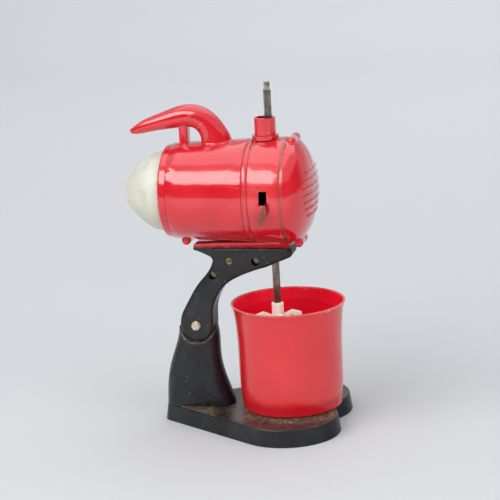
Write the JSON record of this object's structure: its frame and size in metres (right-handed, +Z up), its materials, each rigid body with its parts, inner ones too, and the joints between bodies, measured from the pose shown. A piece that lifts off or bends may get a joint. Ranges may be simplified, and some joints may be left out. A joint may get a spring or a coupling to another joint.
{
  "type": "clockwork toy stand mixer",
  "caption": "Toy stand mixer: tilting wind-up head on a pivoting arm, square beater rod with a looped beater, rear winding knob, and a bowl that turns on a two-lobed base.",
  "frame": {"origin": "on the table, under the middle of the bounding box", "axes": "+X from the column to the bowl, +Y to the far side, +Z up"},
  "size_m": [0.1246, 0.1008, 0.2],
  "materials": {
    "red_housing": "glossy moulded red, lightly scuffed",
    "red_bowl": "satin orange red, chipped rim",
    "black_stand": "satin black, dusty in the creases",
    "cream_knob": "waxy off-white with a green tint",
    "cream_beater": "waxy cream",
    "rod_steel": "dull brown-grey steel, bright at the tip",
    "lever_steel": "tarnished strip",
    "bolt_steel": "dulled nickel",
    "brass_screws": "dull brass",
    "clock_steel": "pressed steel",
    "clock_brass": "cut brass",
    "spring_steel": "blued spring steel"
  },
  "bodies": {
    "stand": {"base": "black_stand", "column": "black_stand", "column_screws": "brass_screws", "pivot_bolt": "bolt_steel", "pivot_washers": "bolt_steel", "pivot_nut": "bolt_steel"},
    "head": {"arm_near": "black_stand", "arm_far": "black_stand", "arm_screws": "brass_screws", "housing_near": "red_housing", "housing_far": "red_housing", "housing_screws": "brass_screws", "collar": "red_housing", "bezel": "red_housing", "rear_plate": "clock_steel", "front_plate": "clock_steel", "frame_pillars": "clock_brass", "frame_nuts": "clock_brass", "mainspring": "spring_steel", "spindle_bracket": "clock_steel", "bracket_posts": "clock_steel", "lever_pin": "clock_steel"},
    "great_wheel": {"great_wheel": "clock_brass", "click": "clock_steel", "click_rivet": "clock_steel"},
    "winder": {"winding_knob": "cream_knob", "winding_arbor": "clock_steel", "ratchet_wheel": "clock_steel"},
    "crown": {"crown_arbor": "clock_steel", "crown_wheel": "clock_brass"},
    "sleeve": {"drive_sleeve": "clock_steel", "sleeve_clips": "clock_steel"},
    "beater": {"beater_rod": "rod_steel", "beater": "cream_beater"},
    "stop_lever": {"stop_lever": "lever_steel"},
    "bowl": {"bowl": "red_bowl"}
  },
  "joints": [
    {"name": "arm_tilt", "type": "hinge", "parent": "stand", "child": "head", "pos_m": [-0.02415, 0, 0.059], "axis": [0, -1, 0], "range_deg": [0, 50]},
    {"name": "great_wheel_spin", "type": "hinge", "parent": "head", "child": "great_wheel", "pos_m": [-0.008, 0, 0.1376], "axis": [1, 0, 0], "continuous": true},
    {"name": "knob_wind", "type": "hinge", "parent": "great_wheel", "child": "winder", "pos_m": [-0.038, 0, 0.1376], "axis": [1, 0, 0], "continuous": true},
    {"name": "crown_spin", "type": "hinge", "parent": "head", "child": "crown", "pos_m": [0.003, 0, 0.1224], "axis": [1, 0, 0], "continuous": true},
    {"name": "sleeve_spin", "type": "hinge", "parent": "head", "child": "sleeve", "pos_m": [0.023, 0, 0.132], "axis": [0, 0, 1], "continuous": true},
    {"name": "beater_lift", "type": "slide", "parent": "sleeve", "child": "beater", "axis": [0, 0, 1], "range_m": [0, 0.022]},
    {"name": "lever_swing", "type": "hinge", "parent": "head", "child": "stop_lever", "pos_m": [0.0253, -0.0125, 0.1376], "axis": [-1, 0, 0], "range_deg": [0, 22]},
    {"name": "bowl_turn", "type": "hinge", "parent": "stand", "child": "bowl", "pos_m": [0.0291, 0, 0.012], "axis": [0, 0, 1], "continuous": true}
  ],
  "couplings": [
    {"joint": "great_wheel_spin", "follows": "sleeve_spin", "ratio": -0.17778},
    {"joint": "crown_spin", "follows": "sleeve_spin", "ratio": 0.66667}
  ]
}
